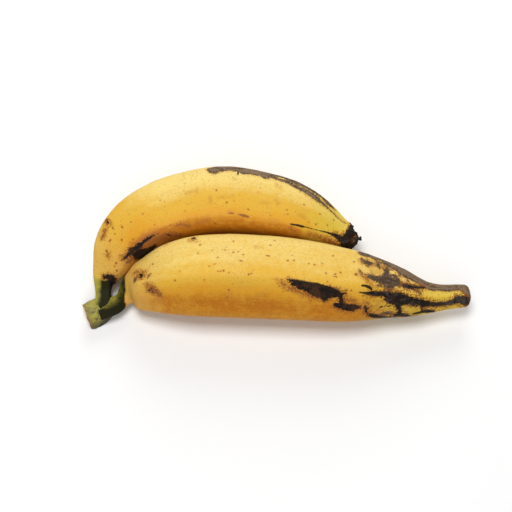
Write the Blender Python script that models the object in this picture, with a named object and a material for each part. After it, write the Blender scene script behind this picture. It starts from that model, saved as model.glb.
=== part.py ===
"""A hand of two plantains, cut from the bunch and lying on its side.

The two fruits and the crown that joins them grew as one piece, so they are one solid.
Lengths below are in millimetres; the meshes are in metres, with +Z up and the origin
on the surface that the hand lies on, under the middle of its box.
"""

from math import radians

import bmesh
import bpy
import numpy as np
from mathutils import Matrix, Vector

MM = 0.001
FOOTPRINT_MIDDLE = np.array([13.0, 7.9, 0.0])  # taken off every point, so the origin is central

# Each station is (x, y, lift, half_width): a point of the fruit's middle line seen from
# above, the height of the underside over the surface, and half the fruit's width there.
# The line runs from inside the crown, through the stalk and body, to the tip.
UPPER_STATIONS = [
    (-102.0, -32.0, 3.0, 5.0),
    (-99.9, -25.5, 4.0, 5.1),
    (-100.0, -18.0, 5.5, 5.3),
    (-99.4, -13.0, 6.5, 6.8),
    (-96.6, -6.5, 6.5, 10.4),
    (-90.0, 5.5, 4.5, 16.0),
    (-81.5, 15.2, 2.5, 19.0),
    (-69.0, 24.7, 1.2, 20.8),
    (-52.3, 32.1, 0.1, 21.9),
    (-32.0, 36.4, -0.5, 22.7),
    (-14.0, 36.9, -0.6, 22.7),
    (4.3, 34.7, -0.4, 21.7),
    (23.5, 30.6, 0.5, 19.7),
    (38.0, 25.3, 2.2, 16.6),
    (50.5, 19.5, 5.5, 12.1),
    (60.0, 15.9, 9.0, 8.8),
    (64.5, 15.1, 10.8, 7.7),
    (67.5, 15.0, 12.0, 6.4),
]
LOWER_STATIONS = [
    (-102.5, -33.5, 3.0, 5.0),
    (-96.5, -31.0, 3.5, 5.5),
    (-90.2, -27.4, 4.0, 5.6),
    (-86.4, -23.3, 4.5, 5.9),
    (-83.2, -20.4, 4.5, 7.4),
    (-79.0, -18.8, 3.8, 10.8),
    (-72.2, -17.8, 2.8, 16.2),
    (-62.0, -17.0, 1.5, 21.0),
    (-42.7, -15.6, 0.1, 24.8),
    (-23.3, -15.2, -0.4, 26.0),
    (-4.0, -15.8, -0.6, 26.3),
    (15.5, -17.0, -0.4, 25.9),
    (35.0, -18.6, 0.1, 25.0),
    (54.0, -20.6, 0.5, 23.5),
    (70.5, -21.9, 1.5, 21.0),
    (83.6, -23.0, 3.0, 17.8),
    (96.6, -25.2, 4.7, 14.6),
    (109.6, -26.6, 7.2, 10.4),
    (122.7, -26.0, 9.2, 7.9),
    (135.7, -25.0, 9.8, 7.2),
    (139.3, -24.9, 10.0, 6.9),
]
CROWN_STATIONS = [
    (-93.0, -23.0, 2.5, 5.0),
    (-97.5, -26.4, 0.8, 7.6),
    (-102.5, -29.6, -0.2, 9.2),
    (-107.5, -32.4, -0.3, 9.4),
    (-112.0, -34.2, 0.2, 8.8),
]

# The way that each facet of the five-sided peel faces, in degrees round the line:
# 0 is up, 90 is the outer side of the curve, 180 is down.
UPPER_FACETS = (5, 98, 175, 232, 275)
LOWER_FACETS = (18, 93, 178, 240, 305)
CROWN_FACETS = (0, 75, 180, 285)
BODY_ROUNDING = 6.0  # the power that rounds the ridges: higher is sharper
END_ROUNDING = 8.5
FLATTENING = 0.97  # height of a section over its width
CROWN_FLATTENING = 0.72

SIDES = 30
UPPER_ROWS = 48
LOWER_ROWS = 52
CROWN_ROWS = 10
TIP_LENGTH = 3.5  # over which the blackened tip rounds off
CUT_LENGTH = 1.2  # over which the crown's cut edge rounds off
STALK_SHARE = 0.075  # of the line is green stalk
BLACK_SHARE = 0.95  # of the line, past which the tip is black

NUB_FOOT = (65.3, 15.1, 18.3)  # dried remains of the flower, on the upper fruit's tip
NUB_RADII = (2.2, 1.3)
NUB_LENGTH = 4.4

PEEL, STALK, BLACK = range(3)
FINISHES = [
    ("ripe_peel", (0.80, 0.50, 0.07), 0.42),
    ("green_stalk", (0.20, 0.21, 0.04), 0.55),
    ("black_tip", (0.025, 0.018, 0.012), 0.7),
]


def spline_through(knots, values, at):
    """Natural cubic spline through values at knots, read at the lengths in at."""
    steps = np.diff(knots)
    count = len(knots)
    matrix = np.eye(count)
    right = np.zeros((count, values.shape[1]))
    slopes = np.diff(values, axis=0) / steps[:, None]
    for i in range(1, count - 1):
        matrix[i, i - 1 : i + 2] = steps[i - 1], 2 * (steps[i - 1] + steps[i]), steps[i]
        right[i] = 6 * (slopes[i] - slopes[i - 1])
    bend = np.linalg.solve(matrix, right)
    i = np.clip(np.searchsorted(knots, at) - 1, 0, count - 2)
    step = steps[i][:, None]
    past = (at - knots[i])[:, None]
    left = step - past
    cubic = (bend[i] * left**3 + bend[i + 1] * past**3) / (6 * step)
    start = (values[i] / step - bend[i] * step / 6) * left
    end = (values[i + 1] / step - bend[i + 1] * step / 6) * past
    return cubic + start + end


def peel_sections(angles, facets, power):
    """Sections of a many-sided peel, two units wide and two high, one for each power.

    A point's distance from the middle is the power mean of its facets' cosines, which
    gives flat faces and rounded ridges; then each section is fitted to its box.
    """
    facing = np.cos(angles[None, :] - np.radians(facets)[:, None]).clip(0, None)
    reach = (facing[None] ** power[:, None, None]).sum(1) ** (-1 / power[:, None])
    fitted = []
    for span in (reach * np.sin(angles), reach * np.cos(angles)):
        low, high = span.min(1)[:, None], span.max(1)[:, None]
        fitted.append((2 * span - low - high) / (high - low))
    return fitted


def lofted_rings(stations, facets, rows, end_length, flattening):
    """Rings of points, in millimetres, of a body carried along its middle line.

    Each ring stands upright across the line, and the last ones close in to a blunt end.
    """
    stations = np.array(stations)
    gaps = np.linalg.norm(np.diff(stations[:, :2], axis=0), axis=1)
    knots = np.concatenate([[0], np.cumsum(gaps)])
    total = knots[-1]
    share = np.linspace(0, 1, rows)
    # Rows stand closer together at the stalk and the tip, where the outline turns fastest.
    at = total * (share - 0.1 * np.sin(2 * np.pi * share) / np.pi)
    line = spline_through(knots, stations, at)
    lift, half_width = line[:, 2], line[:, 3]
    ending = ((at - (total - end_length)) / end_length).clip(0, 1)
    radius = half_width * np.sqrt(1 - ending**3)
    centre = np.column_stack([line[:, :2], lift + flattening * half_width])
    heading = np.gradient(line[:, :2], at, axis=0)
    heading /= np.linalg.norm(heading, axis=1)[:, None]
    outward = np.column_stack([-heading[:, 1], heading[:, 0], 0 * at])
    angles = np.linspace(0, 2 * np.pi, SIDES, endpoint=False)
    endness = np.abs(2 * at / total - 1) ** 2
    power = BODY_ROUNDING + (END_ROUNDING - BODY_ROUNDING) * endness
    wide, high = peel_sections(angles, facets, power)
    across = (radius[:, None] * wide)[..., None] * outward[:, None]
    rise = (radius[:, None] * high)[..., None] * np.array([0, 0, flattening])
    rings = centre[:, None] + across + rise
    rings[..., 2] = rings[..., 2].clip(0, None)  # pressed flat where it rests
    return rings


def new_body(name, mesh):
    """An object in the scene with the three finishes, in the order of their numbers."""
    body = bpy.data.objects.new(name, mesh)
    for finish, _, _ in FINISHES:
        mesh.materials.append(bpy.data.materials[finish])
    return body


def solid_from_rings(name, rings, colours):
    """A closed body: quads between the rings, and a fan of triangles over each end."""
    rows = len(rings)
    ends = np.array([rings[0].mean(0), rings[-1].mean(0)])
    points = (np.vstack([rings.reshape(-1, 3), ends]) - FOOTPRINT_MIDDLE) * MM
    first, last = rows * SIDES, rows * SIDES + 1
    top = (rows - 1) * SIDES
    faces = []
    finishes = []
    for j in range(SIDES):
        k = (j + 1) % SIDES
        faces += [(first, j, k), (last, top + k, top + j)]
        finishes += [colours[0], colours[-1]]
        for i in range(rows - 1):
            near, far = i * SIDES, (i + 1) * SIDES
            faces.append((near + j, far + j, far + k, near + k))
            finishes.append(colours[i])
    mesh = bpy.data.meshes.new(name)
    mesh.from_pydata(points.tolist(), [], faces)
    body = new_body(name, mesh)
    mesh.polygons.foreach_set("material_index", finishes)
    return body


def fruit(name, stations, facets, rows):
    """One fruit from inside the crown to its tip, green at the stalk and black at the tip."""
    rings = lofted_rings(stations, facets, rows, TIP_LENGTH, FLATTENING)
    share = np.linspace(0, 1, rows)
    colours = np.where(share < STALK_SHARE, STALK, np.where(share > BLACK_SHARE, BLACK, PEEL))
    return solid_from_rings(name, rings, colours.tolist())


def crown():
    """The pad that the stalks grow from, cut across at its far end."""
    rings = lofted_rings(CROWN_STATIONS, CROWN_FACETS, CROWN_ROWS, CUT_LENGTH, CROWN_FLATTENING)
    return solid_from_rings("crown", rings, [STALK] * CROWN_ROWS)


def nub():
    """A small taper along +X, sunk into the upper fruit's tip."""
    mesh = bpy.data.meshes.new("nub")
    shape = bmesh.new()
    foot = (np.array(NUB_FOOT) - FOOTPRINT_MIDDLE) * MM
    middle = Vector(foot) + Vector((NUB_LENGTH / 2 * MM, 0, 0))
    place = Matrix.Translation(middle) @ Matrix.Rotation(radians(90), 4, "Y")
    wide, narrow = NUB_RADII
    bmesh.ops.create_cone(
        shape,
        cap_ends=True,
        segments=10,
        radius1=wide * MM,
        radius2=narrow * MM,
        depth=NUB_LENGTH * MM,
        matrix=place,
    )
    for face in shape.faces:
        face.material_index = BLACK
    shape.to_mesh(mesh)
    shape.free()
    return new_body("nub", mesh)


def grown_together(name, base, others):
    """One solid from the base and all the others, which are then removed."""
    joined = bpy.data.collections.new("grown_together")
    bpy.context.scene.collection.children.link(joined)
    for other in others:
        joined.objects.link(other)
    union = base.modifiers.new("union", "BOOLEAN")
    union.operation = "UNION"
    union.operand_type = "COLLECTION"
    union.collection = joined
    union.solver = "EXACT"
    evaluated = base.evaluated_get(bpy.context.evaluated_depsgraph_get())
    mesh = bpy.data.meshes.new_from_object(evaluated)
    mesh.name = name
    mesh.shade_smooth()
    mesh.set_sharp_from_angle(angle=radians(50))
    for old in [base] + others:
        bpy.data.objects.remove(old)
    bpy.data.collections.remove(joined)
    return bpy.data.objects.new(name, mesh)


for old in list(bpy.data.objects):
    bpy.data.objects.remove(old)
for finish, colour, roughness in FINISHES:
    material = bpy.data.materials.new(finish)
    material.use_nodes = True
    surface = material.node_tree.nodes["Principled BSDF"]
    surface.inputs["Base Color"].default_value = (*colour, 1)
    surface.inputs["Roughness"].default_value = roughness
    surface.inputs["Metallic"].default_value = 0

hand_parts = bpy.data.collections.new("plantain_hand")
bpy.context.scene.collection.children.link(hand_parts)
upper = fruit("upper", UPPER_STATIONS, UPPER_FACETS, UPPER_ROWS)
lower = fruit("lower", LOWER_STATIONS, LOWER_FACETS, LOWER_ROWS)
hand_parts.objects.link(upper)
hand = grown_together("plantain_hand", upper, [lower, crown(), nub()])
hand_parts.objects.link(hand)
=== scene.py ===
"""A hand of two ripe plantains on its side on a pale table, seen from above and in front.

All lengths in the pieces' own sections are in millimetres, and become metres in the mesh.
"""

from math import radians

import bpy
import numpy as np
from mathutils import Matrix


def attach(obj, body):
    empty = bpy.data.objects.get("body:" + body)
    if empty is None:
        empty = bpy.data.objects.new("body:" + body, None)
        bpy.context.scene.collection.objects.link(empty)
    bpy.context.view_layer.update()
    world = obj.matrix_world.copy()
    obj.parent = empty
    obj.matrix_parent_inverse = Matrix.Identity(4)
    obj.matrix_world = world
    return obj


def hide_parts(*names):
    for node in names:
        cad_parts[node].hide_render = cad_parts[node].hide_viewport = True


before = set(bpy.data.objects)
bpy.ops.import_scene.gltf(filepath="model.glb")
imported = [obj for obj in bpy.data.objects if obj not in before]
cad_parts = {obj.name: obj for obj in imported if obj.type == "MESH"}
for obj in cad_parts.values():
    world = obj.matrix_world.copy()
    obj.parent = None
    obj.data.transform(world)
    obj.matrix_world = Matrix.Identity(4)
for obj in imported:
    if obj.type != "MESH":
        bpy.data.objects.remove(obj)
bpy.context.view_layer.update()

# The camera looks down on the hand from in front, at the side that the photograph shows.
# A place in the photograph is given by its pixels, right and down from its top left corner.
MM = 0.001
FOOTPRINT_MIDDLE = np.array([13.0, 7.9, 0.0])
PHOTO_SIDE = 512
PIXEL_SIZE = 0.65
LENS = 90
SENSOR = 36
CAMERA_TARGET = np.array([-13.0, -7.9, 25.0])
CAMERA_DISTANCE = 832.5
CAMERA_ELEVATION = radians(68)
BACK = np.array([0, -np.cos(CAMERA_ELEVATION), np.sin(CAMERA_ELEVATION)])
UP = np.array([0, np.sin(CAMERA_ELEVATION), np.cos(CAMERA_ELEVATION)])
CAMERA_PLACE = CAMERA_TARGET + CAMERA_DISTANCE * BACK


def aim(thing, target):
    """Turn a light or camera so that its -Z axis points at the target."""
    toward = np.array(target) - np.array(thing.location)
    across = np.hypot(toward[0], toward[1])
    thing.rotation_euler = (np.arctan2(across, -toward[2]), 0, np.arctan2(-toward[0], toward[1]))


def in_photo(points):
    """The pixels at which points show: their sideways share of their depth, enlarged."""
    offset = points - FOOTPRINT_MIDDLE - CAMERA_PLACE
    enlarged = LENS / SENSOR * PHOTO_SIDE / -(offset @ BACK)
    return PHOTO_SIDE / 2 + np.stack([offset[..., 0] * enlarged, -(offset @ UP) * enlarged], -1)


camera = bpy.data.objects.new("camera", bpy.data.cameras.new("camera"))
camera.data.lens = LENS
camera.data.sensor_width = SENSOR
camera.location = CAMERA_PLACE * MM
aim(camera, CAMERA_TARGET * MM)
bpy.context.scene.collection.objects.link(camera)
bpy.context.scene.camera = camera
bpy.context.scene.view_settings.view_transform = "Standard"

# The longer plantain: a ripe fruit of five blunt facets that narrows to a long beak.
# It is carried along its middle line, ring by ring, from inside the crown to the dry tip;
# the peel is waxy yellow, freckled, bruised black at the side and scarred grey on a ridge.
NODE = "plantain_hand"

# A fruit's height over its width, how bluntly its tip closes, how sharp its facets are
# along the body and at both ends, how much its rings crowd there, the points of a ring,
# and the rings of the closing tip.
FLATTENING = 0.97
BLUNT = 2.4
BODY_ROUNDING = 7.5
END_ROUNDING = 8.5
ROW_CROWDING = 0.1
COLUMNS = 200
CAP_ROWS = 24

# The longer fruit's rings, the length of its closing tip, its stations as (x, y, lift of
# the underside, half width), and the degrees round the line at which its facets face.
LONGER_ROWS = 440
LONGER_TIP = 4.6
LONGER_STATIONS = [
    (-102.5, -33.5, 3.0, 5.0),
    (-96.5, -31.0, 3.5, 5.5),
    (-90.2, -27.4, 4.0, 5.6),
    (-86.4, -23.6, 4.5, 5.4),
    (-83.6, -21.2, 4.1, 8.2),
    (-79.8, -20.0, 3.2, 12.7),
    (-72.4, -18.8, 2.4, 16.7),
    (-62.0, -17.4, 1.5, 20.6),
    (-42.7, -15.6, 0.1, 24.8),
    (-23.3, -15.2, -0.4, 26.0),
    (-4.0, -15.8, -0.6, 26.3),
    (15.5, -17.0, -0.4, 25.9),
    (35.0, -18.6, 0.1, 25.0),
    (54.0, -20.6, 0.5, 23.5),
    (70.5, -21.9, 1.5, 21.0),
    (83.6, -23.0, 3.0, 17.8),
    (96.6, -25.2, 4.7, 14.6),
    (109.6, -26.6, 7.2, 10.4),
    (122.7, -26.0, 9.2, 7.9),
    (135.7, -25.0, 9.8, 7.2),
    (139.3, -24.9, 10.0, 6.9),
]
LONGER_FACETS = (18, 93, 178, 240, 305)

# Marks on the peel, some of them painted shadow where noted: chains of (pixels right,
# pixels down, half width in pixels). A pixel finds its place from its NEAREST points. A
# mark's edge that misses the fruit by more than MISS_LIMIT pixels isn't measured, and a half
# width in pixels becomes NARROWEST to WIDEST times as many millimetres. Depths are counted
# up to MARK_REACH millimetres both ways.
NEAREST = 4
MISS_LIMIT = 0.4
NARROWEST = 0.6
WIDEST = 1.6
MARK_REACH = 4.0
LONGER_BLACK = [
    [(289, 280.4, 0.3), (293.5, 283.8, 1.8), (300.5, 286, 3), (308.5, 288.8, 3.8), (316, 291.6, 4.6)],
    [
        (316, 291.6, 4.6), (321, 292.8, 5), (326, 293.4, 4.8), (332, 294.2, 3.8), (338.6, 294.4, 2.8),
        (345.5, 293.4, 0.8),
    ],
    [(325, 296.6, 4.6), (325.5, 297.4, 4.2)],
    [(340.6, 296, 2.6), (341, 301, 2.4), (341.5, 304.5, 2.6)],
    [(335.8, 304.8, 1.6), (341.4, 306.2, 3.2), (347.9, 307.4, 4.2), (353.6, 307.4, 3.4), (359.5, 307.1, 1)],
    [(364.5, 307.2, 1.1), (366.5, 309.3, 1.7), (366.4, 312.5, 1.2), (370, 315, 1.3)],
    # Painted shadow: this chain draws a black contact line along the lower edge.
    [(370, 315, 1.3), (377, 316.6, 0.9), (386, 317.4, 0.8), (395, 317.6, 1)],
    [(370, 293.3, 1.6), (376.7, 293.4, 2), (382.5, 294, 2.3), (388.3, 295.4, 3.2)],
    [(388.3, 295.4, 3.2), (393.3, 297.5, 5), (398.3, 298.8, 5.6), (404.2, 300.2, 5)],
    [(404.2, 300.2, 5), (411.7, 301.5, 4), (420, 302.7, 3.2), (428.3, 304, 2.6)],
    [(428.3, 304, 2.6), (436.7, 304.5, 2), (445, 304.1, 1.7), (452.5, 302.1, 2.4)],
    [(452.5, 302.1, 2.4), (457.5, 300, 3.6), (462.5, 300.2, 4.4), (466.2, 301.5, 3.8)],
    [(385.7, 299.3, 0.8), (389.2, 301.8, 1.3), (393.3, 303.3, 1.3)],
    [(398.8, 304.5, 3.2), (398.2, 308, 1.8), (400, 311, 1.6), (399.2, 314, 2.4)],
    [(395.8, 315.2, 1.4), (403.3, 315.2, 1.3), (408.3, 316, 1)],
    [(404, 285.6, 1.4), (411, 287, 1.8), (418.3, 287.8, 1.2), (424, 287.7, 0.6)],
    [(141, 275.2, 1.5), (141.2, 276.8, 1.2)],
    [(152, 288, 0.1), (149, 291, 0.3), (152.8, 292, 0.6)],
    [(193.4, 238.4, 0.4), (194, 238.6, 0.3)],
]
LONGER_CRISP = [
    [(288, 279.8, 0.7), (294, 281, 1.6), (301, 282.6, 2.2), (309, 284.2, 2.5)],
    [(309, 284.2, 2.5), (317, 285.8, 2.7), (324, 287.6, 2.6), (331, 290, 2.4), (338, 292.2, 1.7)],
    [(362.1, 285.4, 0.8), (365.8, 285.7, 1.2), (369.2, 287.1, 1.5), (371.7, 289.2, 1.2)],
    [(359.2, 292.3, 0.5), (365, 293.2, 1), (370, 293.3, 1.6)],
    [(380, 307.3, 0.6), (382.5, 306.7, 0.6)],
    [(387.9, 306.5, 0.6), (390.4, 306.1, 0.5)],
    [(413.3, 313.8, 0.8), (422.5, 311.8, 1.2), (428.3, 311.4, 1.1), (434, 311.6, 0.5)],
    [(422.5, 306, 0.6), (421.7, 309.5, 0.7)],
]
LONGER_BROWN = [
    [(362.9, 260, 1.6), (366.7, 262.3, 2.6), (370.8, 263.3, 1.9)],
    [(378.2, 263.2, 1.8), (379.3, 266.7, 1.9)],
    [(380, 262.7, 1.2), (386.2, 263.5, 1.6)],
    [(389.2, 264.2, 2.6), (387.1, 268.8, 2.4), (386.2, 275, 3.8), (386.7, 280, 4.2)],
    [(370, 276.7, 2), (378.3, 279.6, 3.6), (388.3, 280, 4.8), (398.3, 283.3, 3.4)],
    [(398.3, 283.3, 3.2), (408.3, 286.2, 2.8), (416.7, 287.5, 2), (423.8, 287.7, 1)],
    [(378.3, 285.4, 1), (383.3, 285.7, 1.2), (386.7, 286.2, 1)],
    [(390.4, 285, 4.4), (390, 290, 4), (389.2, 294.2, 3)],
    [(384, 290, 0.9), (385, 290, 0.8)],
    [(389, 270.5, 1.2), (394, 275.5, 2.2), (399, 280.5, 1.6)],
    [(359.6, 270.4, 0.5), (360.8, 272.5, 0.5), (365, 274.2, 0.7), (369.6, 276.2, 0.8)],
    [(398.5, 271.5, 1.3), (400, 276, 1.2)],
    [(406.5, 275.5, 1.2), (408.5, 281, 1)],
    [(392.5, 267.5, 1.2), (390.5, 274.5, 1.8)],
    [(412.5, 288.8, 1.4), (416.7, 291, 1.4), (420.4, 293.3, 0.8)],
    [(425, 306.2, 1), (422.9, 309.2, 1.3), (427.5, 310.4, 1.4), (433.3, 310.6, 1)],
    [(135, 279.9, 0.9), (136.5, 278.8, 0.6)],
    [(148.9, 276.4, 0.8), (148.6, 277, 0.6)],
    [(327, 288, 2.5), (338, 290.5, 2)],
]
LONGER_ISLANDS = [
    [(391.7, 272.1, 1.6), (396, 272.7, 1.7)],
    [(400, 277.5, 1.6), (405, 281.5, 1.5)],
    [(411.7, 281.2, 1.5), (417.1, 284, 1.3), (421, 286, 0.5)],
    [(372.5, 272.7, 2), (378.3, 273.3, 2), (382.8, 271, 1.5)],
    [(364.2, 259.3, 0.7), (366.2, 259.7, 0.7)],
]
LONGER_SCAR = [
    [
        (360.5, 253.4, 1.2), (365, 254.6, 2), (370, 256.2, 2.1), (375, 257.9, 2), (380, 259.6, 1.9),
        (384, 261.6, 2),
    ],
    [
        (384, 262, 1.5), (390, 264.6, 2.4), (397, 267.8, 2.8), (404, 272.3, 3.2), (411, 276.8, 2.8),
        (418, 281, 2.5),
    ],
    [
        (418, 281, 2.5), (425, 285.6, 2.6), (431, 288, 2.4), (440, 288.2, 2.6), (450, 288.6, 2.8),
        (458, 287.6, 2.6),
    ],
    [(458, 287.6, 2.6), (464.5, 289, 2.8), (468, 293, 2.6), (469, 298, 2.3), (467.5, 303.5, 1.8)],
]
LONGER_STAIN = [
    [(276, 279, 1), (283, 283.5, 2.6), (292, 288.5, 3.4), (303, 293, 3.4), (314, 297.5, 2.6)],
    [(146, 285, 2.5), (152, 289, 4.5), (159, 294, 3.5)],
    [(134, 272.5, 1.5), (139, 271, 2), (146, 272, 1.5)],
    [(137, 277, 2.5), (144, 275, 2.5)],
    [(364, 302, 2), (368, 304, 2)],
    [(388, 277, 2.5), (397, 278, 2.5)],
    [(361, 274, 2), (367, 279, 3), (372, 285, 2)],
    [(345, 299, 3), (354, 301, 3)],
    [(362, 262, 2), (372, 265, 2.5), (382, 267, 2.5)],
]
LONGER_SMUDGE = [
    [(372, 271, 2.5), (379, 272.5, 3), (385, 271, 2)],
    [(256, 247, 1.5), (262, 247.5, 1.5)],
    [(189, 240.5, 1.5), (197, 241.5, 1.5)],
    [(379, 302, 2.5), (377, 307, 2.5), (383, 312, 3.5)],
    [(444, 287, 1), (462, 291, 2)],
    [(227, 296, 2.5), (232, 293, 2)],
    [(258, 296, 2), (263, 295, 2)],
    [(166.7, 244.6, 0.7), (168, 244.5, 0.7)],
]
LONGER_DOTS = [
    (152.9, 264.2, 0.8), (200, 244.8, 0.8), (233.6, 241.3, 0.7), (225, 250, 0.6), (233.1, 252.5, 0.6),
    (238.3, 251.7, 0.5), (212.1, 250.4, 0.5), (217.7, 257.5, 0.6), (243.3, 254.6, 0.5),
    (240.4, 260.8, 0.7), (242.5, 261.5, 0.6), (214.6, 264.2, 0.6), (209.2, 266, 0.6), (197.9, 253.2, 0.5),
    (218, 271.4, 0.5), (220.5, 271.3, 0.5), (223.8, 270.7, 0.9), (228.8, 272.3, 0.5), (248.6, 274.3, 0.8),
    (251.3, 273.5, 0.5), (179.6, 270.8, 0.5), (266.7, 255.7, 0.6), (268.8, 256.2, 0.6), (228.8, 290, 0.8),
    (175, 280.4, 0.7), (204.2, 280, 0.6), (227.5, 297.1, 0.6), (270.4, 245.4, 0.5), (274.6, 240.4, 0.6),
    (287.9, 260.7, 0.7), (293.9, 260.4, 0.5), (308.9, 263.6, 0.5), (314.6, 264.6, 0.6),
    (322.5, 263.4, 0.6), (333.2, 255.7, 0.5), (326, 273.2, 0.6), (335.4, 273.9, 0.6), (334.6, 276.4, 0.7),
    (336.4, 276.8, 0.7), (340.7, 272.4, 0.8), (327.5, 281.4, 0.5), (346.4, 290.4, 0.9),
    (351.4, 290.4, 0.7), (356, 274.3, 1), (359.3, 270.4, 0.7), (353.9, 261.8, 0.6), (362.9, 295.7, 0.8),
    (367.9, 302.5, 0.6), (310.4, 300.4, 0.7), (283.2, 291.4, 0.5), (281.8, 279.7, 0.8), (364, 292.5, 0.5),
    (277.5, 283.5, 0.5), (279.5, 286, 0.5), (284, 288, 0.5), (288, 290.5, 0.5), (372, 306, 0.7),
    (374, 301, 0.6), (377, 310, 0.6), (381, 307, 0.7), (385, 306.5, 0.8), (386, 312.5, 0.6),
    (379, 309.5, 0.5), (392, 312, 0.7), (390.5, 309, 0.5), (383, 310.5, 0.5), (371, 310.5, 0.8),
    (394, 307.5, 0.6),
]

# Marks on the side that the photograph does not show: (mm along, degrees round, half width).
LONGER_HIDDEN_BROWN = [
    [(184, -80, 1.6), (192, -74, 1.4), (197, -78, 1.6)],
    [(203, -84, 0.6), (207, -92, 1), (212, -95, 1.2)],
]
LONGER_HIDDEN_SCAR = [
    [(173, 56, 1), (180, 57, 1.5), (188, 57, 2.2), (198, 55, 2.8), (210, 52, 2.8), (222, 50, 2.6)],
    [(222, 50, 2.6), (236, 50, 2.4), (243, 44, 2.2)],
]


def spline_through(knots, values, at):
    """Natural cubic spline: piecewise cubics whose second slopes agree where they meet."""
    steps = np.diff(knots)
    count = len(knots)
    matrix = np.eye(count)
    right = np.zeros((count, values.shape[1]))
    slopes = np.diff(values, axis=0) / steps[:, None]
    for i in range(1, count - 1):
        matrix[i, i - 1 : i + 2] = steps[i - 1], 2 * (steps[i - 1] + steps[i]), steps[i]
        right[i] = 6 * (slopes[i] - slopes[i - 1])
    bend = np.linalg.solve(matrix, right)
    i = np.clip(np.searchsorted(knots, at) - 1, 0, count - 2)
    step = steps[i][:, None]
    past = (at - knots[i])[:, None]
    left = step - past
    cubic = (bend[i] * left**3 + bend[i + 1] * past**3) / (6 * step)
    start = (values[i] / step - bend[i] * step / 6) * left
    end = (values[i + 1] / step - bend[i + 1] * step / 6) * past
    return cubic + start + end


def ramp(value, start, length):
    """From 0 at the start to 1 a length further on, or further back if it is negative."""
    return ((value - start) / length).clip(0, 1)


def peel_sections(angles, facets, power):
    """Sections of the peel, fitted to a box two units wide and high.

    The distance from the middle is the power mean of the facets' cosines.
    """
    facing = np.cos(angles[None, :] - np.radians(facets)[:, None]).clip(0, None)
    reach = (facing[None] ** power[:, None, None]).sum(1) ** (-1 / power[:, None])
    fitted = []
    for span in (reach * np.sin(angles), reach * np.cos(angles)):
        low, high = span.min(1)[:, None], span.max(1)[:, None]
        fitted.append((2 * span - low - high) / (high - low))
    return fitted


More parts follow.
